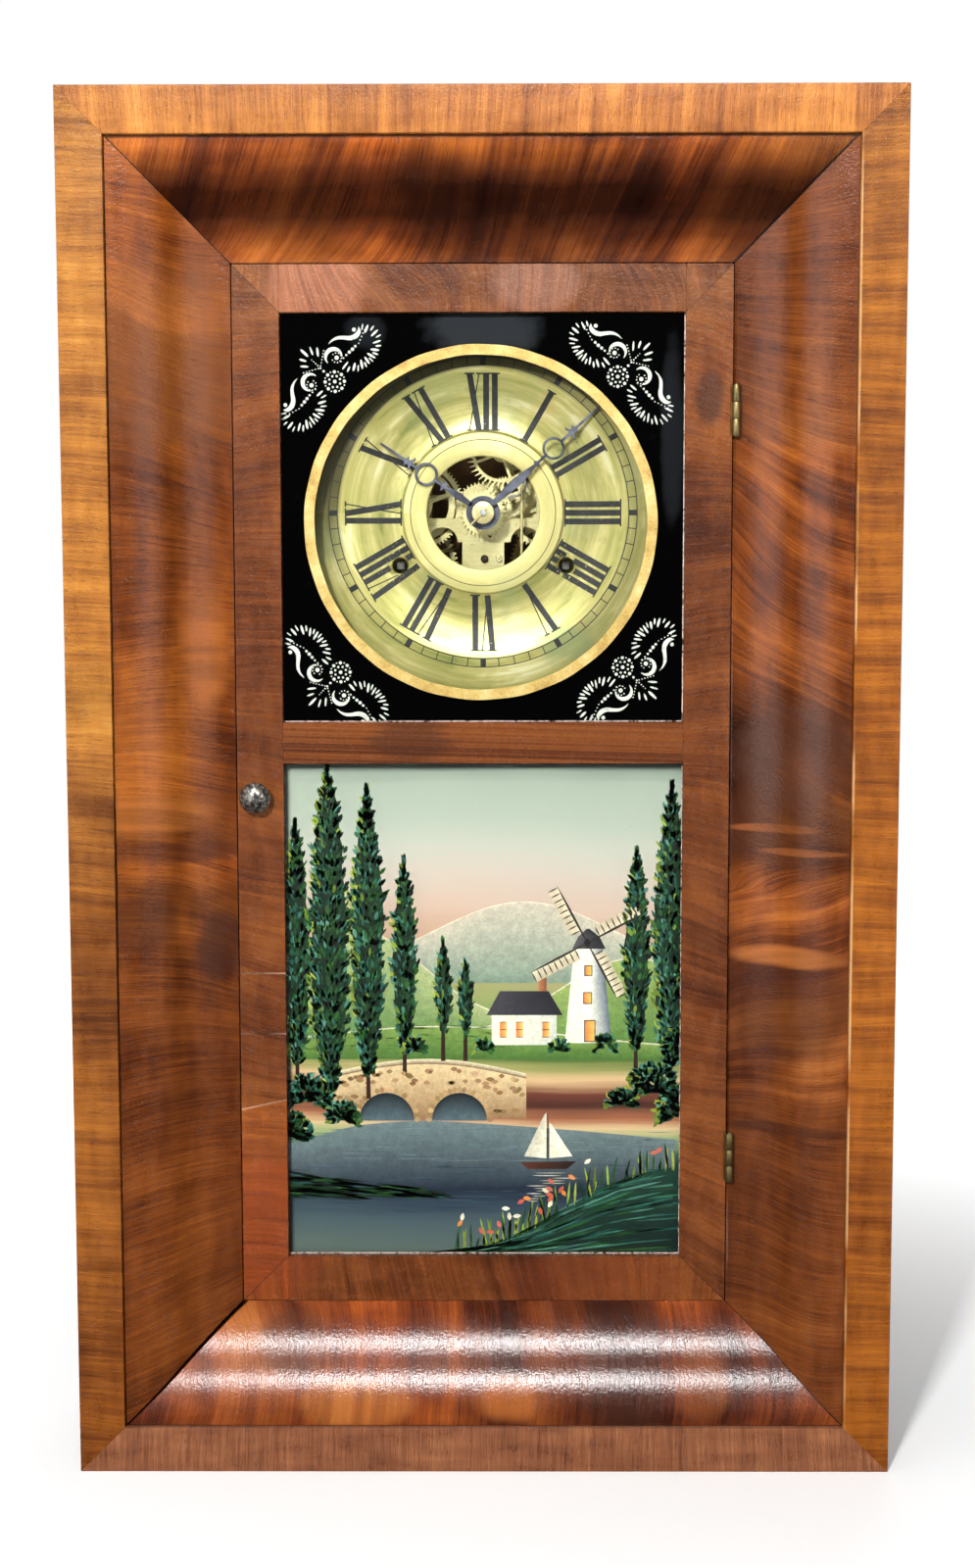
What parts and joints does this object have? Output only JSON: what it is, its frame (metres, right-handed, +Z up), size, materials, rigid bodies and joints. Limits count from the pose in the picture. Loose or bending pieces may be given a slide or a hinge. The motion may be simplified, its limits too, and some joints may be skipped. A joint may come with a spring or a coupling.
{
  "type": "ogee shelf clock",
  "caption": "Tall box clock with a mitred ogee frame, a glazed two-pane door, a round pressed brass dial, hands, and a weight-driven striking movement inside.",
  "frame": {"origin": "middle of the base, at mid-depth", "axes": "+Z up, the dial faces -Y, +X to the viewer's right"},
  "size_m": [0.394, 0.114, 0.6724],
  "materials": {
    "case_pine": "stained pine, dark with age",
    "facing_veneer": "mahogany veneer, cross-grained, varnished",
    "ogee_veneer": "figured mahogany veneer, glossy varnish",
    "door_veneer": "mahogany veneer, varnished",
    "raw_pine": "bare aged pine",
    "mask_glass": "reverse-painted black",
    "tablet_glass": "reverse-painted tablet",
    "dial_brass": "pressed and spun brass, lacquered, mellow, printed black",
    "blued_steel": "blued steel",
    "brass_sheet": "aged rolled brass",
    "brass_wheels": "cut brass on steel arbors",
    "steel_wire": "drawn steel, dull",
    "pewter": "mottled pewter",
    "iron": "rough black cast iron",
    "tin": "tinplate, spotted",
    "turned_wood": "turned hardwood",
    "cord": "twisted cotton cord"
  },
  "bodies": {
    "case": {"case_side_left": "case_pine", "case_side_right": "case_pine", "case_top": "case_pine", "case_bottom": "case_pine", "back_board": "raw_pine", "nails_and_screws": "steel_wire", "facing_strips": "facing_veneer", "ogee_top": "ogee_veneer", "ogee_bottom": "ogee_veneer", "ogee_left": "ogee_veneer", "ogee_right": "ogee_veneer", "inner_boards": "raw_pine", "case_hinge_leaves": "brass_sheet", "dial": "dial_brass", "front_plate": "brass_sheet", "back_plate": "brass_sheet", "plate_pillars": "brass_sheet", "movement_cocks": "brass_sheet", "gong": "steel_wire", "pulley_covers": "tin", "cord_risers": "cord", "cord_fall_right": "cord", "cord_fall_left": "cord"},
    "door": {"door_hinge_leaves": "brass_sheet", "door_stile_left": "door_veneer", "door_stile_right": "door_veneer", "door_top_rail": "door_veneer", "door_middle_rail": "door_veneer", "door_bottom_rail": "door_veneer", "upper_glass": "mask_glass", "lower_glass": "tablet_glass", "glazing_strips": "raw_pine"},
    "latch": {"door_knob": "pewter", "latch_tongue": "pewter"},
    "minute_body": {"minute_arbor": "steel_wire", "minute_hand": "blued_steel", "hand_washer": "brass_sheet"},
    "minute_wheel_body": {"minute_wheel": "brass_wheels"},
    "hour_body": {"hour_wheel": "brass_wheels", "hour_hand": "blued_steel"},
    "time_third_body": {"time_third_wheel": "brass_wheels"},
    "time_second_body": {"time_second_wheel": "brass_wheels"},
    "time_great_body": {"time_great_wheel": "brass_wheels"},
    "centre_body": {"centre_wheel": "brass_wheels"},
    "escape_body": {"escape_wheel": "brass_wheels"},
    "strike_third_body": {"strike_third_wheel": "brass_wheels"},
    "strike_second_body": {"strike_second_wheel": "brass_wheels"},
    "strike_great_body": {"strike_great_wheel": "brass_wheels"},
    "fly_body": {"strike_fly": "brass_wheels"},
    "count_body": {"count_wheel": "brass_sheet"},
    "time_weight_body": {"time_weight": "iron"},
    "time_drum_body": {"time_drum": "steel_wire"},
    "pulley_right_body": {"pulley_right": "turned_wood"},
    "strike_weight_body": {"strike_weight": "iron"},
    "strike_drum_body": {"strike_drum": "steel_wire"},
    "pulley_left_body": {"pulley_left": "turned_wood"},
    "pendulum_body": {"pendulum": "steel_wire"},
    "verge_body": {"verge_and_crutch": "steel_wire"},
    "hammer_body": {"hammer": "steel_wire"},
    "lever_body": {"strike_lever": "steel_wire"}
  },
  "joints": [
    {"name": "door_swing", "type": "hinge", "parent": "case", "child": "door", "pos_m": [0.1205, -0.0353, 0.33], "axis": [0, 0, 1], "range_deg": [0, 150]},
    {"name": "latch_turn", "type": "hinge", "parent": "door", "child": "latch", "pos_m": [-0.11, 0, 0.3289], "axis": [0, -1, 0], "range_deg": [0, 90]},
    {"name": "minute_turn", "type": "hinge", "parent": "case", "child": "minute_body", "pos_m": [0, 0, 0.466], "axis": [0, -1, 0], "continuous": true},
    {"name": "minute_wheel_turn", "type": "hinge", "parent": "case", "child": "minute_wheel_body", "pos_m": [0.01118, 0, 0.47383], "axis": [0, -1, 0], "continuous": true},
    {"name": "hour_turn", "type": "hinge", "parent": "case", "child": "hour_body", "pos_m": [0, 0, 0.466], "axis": [0, -1, 0], "continuous": true},
    {"name": "time_third_turn", "type": "hinge", "parent": "case", "child": "time_third_body", "pos_m": [0.03071, 0, 0.49456], "axis": [0, -1, 0], "continuous": true},
    {"name": "time_second_turn", "type": "hinge", "parent": "case", "child": "time_second_body", "pos_m": [0.03167, 0, 0.47058], "axis": [0, -1, 0], "continuous": true},
    {"name": "time_great_turn", "type": "hinge", "parent": "case", "child": "time_great_body", "pos_m": [0.0407, 0, 0.4404], "axis": [0, -1, 0], "continuous": true},
    {"name": "centre_turn", "type": "hinge", "parent": "case", "child": "centre_body", "pos_m": [0, 0, 0.466], "axis": [0, -1, 0], "continuous": true},
    {"name": "escape_turn", "type": "hinge", "parent": "case", "child": "escape_body", "pos_m": [0.009, 0, 0.4958], "axis": [0, -1, 0], "continuous": true},
    {"name": "strike_third_turn", "type": "hinge", "parent": "case", "child": "strike_third_body", "pos_m": [-0.03669, 0, 0.49406], "axis": [0, -1, 0], "continuous": true},
    {"name": "strike_second_turn", "type": "hinge", "parent": "case", "child": "strike_second_body", "pos_m": [-0.0317, 0, 0.47059], "axis": [0, -1, 0], "continuous": true},
    {"name": "strike_great_turn", "type": "hinge", "parent": "case", "child": "strike_great_body", "pos_m": [-0.0407, 0, 0.4404], "axis": [0, -1, 0], "continuous": true},
    {"name": "fly_turn", "type": "hinge", "parent": "case", "child": "fly_body", "pos_m": [-0.02469, 0, 0.50575], "axis": [0, -1, 0], "continuous": true},
    {"name": "count_turn", "type": "hinge", "parent": "case", "child": "count_body", "pos_m": [-0.0395, 0, 0.472], "axis": [0, -1, 0], "continuous": true},
    {"name": "time_weight_lift", "type": "slide", "parent": "case", "child": "time_weight_body", "axis": [0, 0, 1], "range_m": [0, 0.4], "deforming": ["cord_fall_right"]},
    {"name": "time_drum_turn", "type": "hinge", "parent": "case", "child": "time_drum_body", "pos_m": [0.0407, 0, 0.4404], "axis": [0, -1, 0], "range_deg": [-1656, 0]},
    {"name": "pulley_right_turn", "type": "hinge", "parent": "case", "child": "pulley_right_body", "pos_m": [0.144, 0, 0.6544], "axis": [0, -1, 0], "range_deg": [0, 1751]},
    {"name": "strike_weight_lift", "type": "slide", "parent": "case", "child": "strike_weight_body", "axis": [0, 0, 1], "range_m": [0, 0.4], "deforming": ["cord_fall_left"]},
    {"name": "strike_drum_turn", "type": "hinge", "parent": "case", "child": "strike_drum_body", "pos_m": [-0.0407, 0, 0.4404], "axis": [0, -1, 0], "range_deg": [0, 1656]},
    {"name": "pulley_left_turn", "type": "hinge", "parent": "case", "child": "pulley_left_body", "pos_m": [-0.144, 0, 0.6544], "axis": [0, -1, 0], "range_deg": [-1751, 0]},
    {"name": "pendulum_swing", "type": "hinge", "parent": "case", "child": "pendulum_body", "pos_m": [0.019, 0, 0.528], "axis": [0, -1, 0], "range_deg": [-4, 4]},
    {"name": "verge_swing", "type": "hinge", "parent": "case", "child": "verge_body", "pos_m": [0.019, 0, 0.515], "axis": [0, -1, 0], "range_deg": [-5.5, 5.5]},
    {"name": "hammer_lift", "type": "hinge", "parent": "case", "child": "hammer_body", "pos_m": [-0.012, 0, 0.416], "axis": [0, -1, 0], "range_deg": [-14, 0]},
    {"name": "strike_lever_lift", "type": "hinge", "parent": "case", "child": "lever_body", "pos_m": [-0.054, 0, 0.5], "axis": [0, -1, 0], "range_deg": [-12, 0]}
  ],
  "couplings": [
    {"joint": "minute_wheel_turn", "follows": "minute_turn", "ratio": -0.33333},
    {"joint": "hour_turn", "follows": "minute_turn", "ratio": 0.083333},
    {"joint": "time_second_turn", "follows": "time_third_turn", "ratio": -0.11111},
    {"joint": "time_great_turn", "follows": "time_third_turn", "ratio": 0.018519},
    {"joint": "centre_turn", "follows": "time_third_turn", "ratio": 0.11111},
    {"joint": "escape_turn", "follows": "time_third_turn", "ratio": -8.6667},
    {"joint": "strike_second_turn", "follows": "strike_third_turn", "ratio": -0.11111},
    {"joint": "strike_great_turn", "follows": "strike_third_turn", "ratio": 0.018519},
    {"joint": "fly_turn", "follows": "strike_third_turn", "ratio": -8.5714},
    {"joint": "count_turn", "follows": "strike_third_turn", "ratio": 0.008547},
    {"joint": "time_drum_turn", "follows": "time_weight_lift", "rad_per_m": -72.202},
    {"joint": "pulley_right_turn", "follows": "time_weight_lift", "rad_per_m": 76.336},
    {"joint": "strike_drum_turn", "follows": "strike_weight_lift", "rad_per_m": 72.202},
    {"joint": "pulley_left_turn", "follows": "strike_weight_lift", "rad_per_m": -76.336},
    {"joint": "verge_swing", "follows": "pendulum_swing", "ratio": 1.3439}
  ]
}
